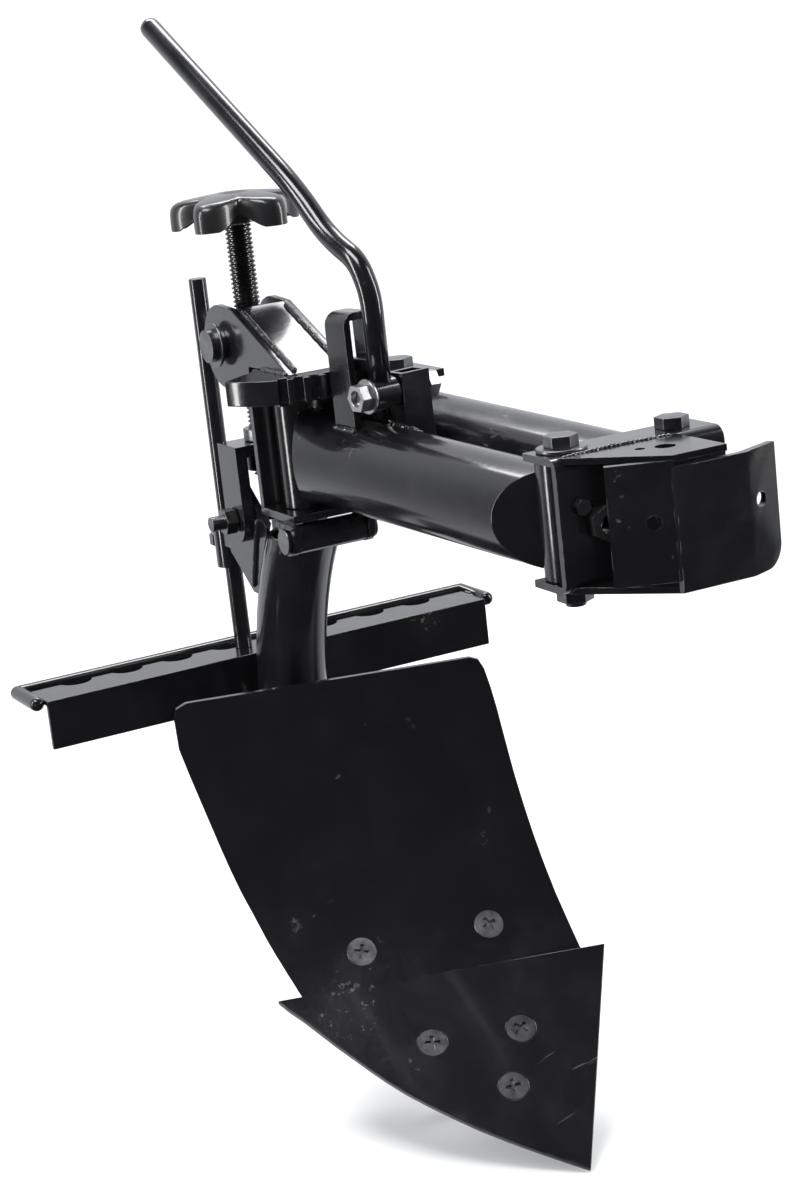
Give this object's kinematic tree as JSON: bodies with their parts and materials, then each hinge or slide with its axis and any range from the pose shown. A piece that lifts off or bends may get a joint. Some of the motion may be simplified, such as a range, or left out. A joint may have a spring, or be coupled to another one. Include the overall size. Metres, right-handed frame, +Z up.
{
  "type": "walking plow",
  "caption": "Side-shift mouldboard plow for a walk-behind tractor: link hitch, latch lever, pitch screw, curved standard and depth gauge bar.",
  "frame": {"origin": "on the hitch pin axis, midway between the two clevis plates", "axes": "+X forward towards the tractor, +Y to the plow's left, +Z up along the hitch pin"},
  "size_m": [0.4895, 0.359, 0.7448],
  "materials": {
    "black_paint": "gloss",
    "knob_paint": "satin",
    "share_steel": "gloss",
    "zinc_steel": "satin",
    "machined_steel": "machined"
  },
  "bodies": {
    "hitch": {"hitch_channel": "black_paint", "clevis_plates": "black_paint", "saddle_bracket": "black_paint", "hitch_nuts": "zinc_steel", "front_bolts": "zinc_steel", "front_washer": "zinc_steel"},
    "near_arm": {"near_link": "black_paint", "guide_strap": "black_paint", "lever_post": "black_paint", "lever_bolt": "zinc_steel"},
    "far_arm": {"far_link": "black_paint"},
    "latch": {"latch_lever": "black_paint"},
    "rear": {"rear_bracket": "black_paint", "sector_plate": "black_paint", "rear_bolts": "zinc_steel", "ears": "black_paint", "cross_plate": "black_paint", "hinge_cheeks": "black_paint", "hinge_bolt": "zinc_steel"},
    "trunnion": {"trunnion": "machined_steel", "retaining_rings": "zinc_steel"},
    "yoke": {"yoke": "black_paint"},
    "screw": {"yoke_collar": "machined_steel", "adjusting_screw": "machined_steel", "star_knob": "knob_paint"},
    "plow": {"standard_tube": "black_paint", "hinge_sleeve": "black_paint", "gussets": "black_paint", "yoke_bolt": "zinc_steel", "rod_clamp": "black_paint", "clamp_screw": "zinc_steel", "frog": "black_paint", "frog_ribs": "black_paint", "mouldboard": "black_paint", "share": "share_steel", "board_screws": "zinc_steel", "share_screws": "zinc_steel", "landside": "black_paint"},
    "gauge": {"gauge_rod": "machined_steel", "gauge_bar": "black_paint", "guard_loop": "black_paint"}
  },
  "joints": [
    {"name": "link_swing", "type": "hinge", "parent": "hitch", "child": "near_arm", "pos_m": [-0.043, -0.042, 0], "axis": [0, 0, 1], "range_deg": [-30, 20]},
    {"name": "far_swing", "type": "hinge", "parent": "hitch", "child": "far_arm", "pos_m": [-0.043, 0.033, 0], "axis": [0, 0, 1], "range_deg": [-30, 20]},
    {"name": "rear_swivel", "type": "hinge", "parent": "near_arm", "child": "rear", "pos_m": [-0.313, -0.08, 0.0145], "axis": [0, 0, 1], "range_deg": [-20, 30]},
    {"name": "latch_swing", "type": "hinge", "parent": "near_arm", "child": "latch", "pos_m": [-0.21596, -0.06634, 0.0595], "axis": [0.1394, -0.9902, 0], "range_deg": [-8, 6]},
    {"name": "plow_pitch", "type": "hinge", "parent": "rear", "child": "plow", "pos_m": [-0.289, -0.08, -0.0375], "axis": [0, 1, 0], "range_deg": [-20, 2]},
    {"name": "trunnion_tilt", "type": "hinge", "parent": "rear", "child": "trunnion", "pos_m": [-0.375, -0.08, 0.0835], "axis": [0, 1, 0], "range_deg": [-1.8, 0.2]},
    {"name": "yoke_travel", "type": "slide", "parent": "trunnion", "child": "yoke", "axis": [0, 0, 1], "range_m": [-0.03, 0.0032]},
    {"name": "screw_turn", "type": "hinge", "parent": "yoke", "child": "screw", "pos_m": [-0.375, -0.08, 0.0835], "axis": [0, 0, 1], "range_deg": [-3620, 380]},
    {"name": "gauge_slide", "type": "slide", "parent": "plow", "child": "gauge", "axis": [0, 0, 1], "range_m": [-0.03, 0.03]}
  ],
  "couplings": [
    {"joint": "far_swing", "follows": "link_swing", "ratio": 1},
    {"joint": "rear_swivel", "follows": "link_swing", "ratio": -1},
    {"joint": "trunnion_tilt", "follows": "plow_pitch", "ratio": 0.0871},
    {"joint": "yoke_travel", "follows": "plow_pitch", "m_per_rad": 0.0848},
    {"joint": "screw_turn", "follows": "plow_pitch", "ratio": 177.6}
  ]
}
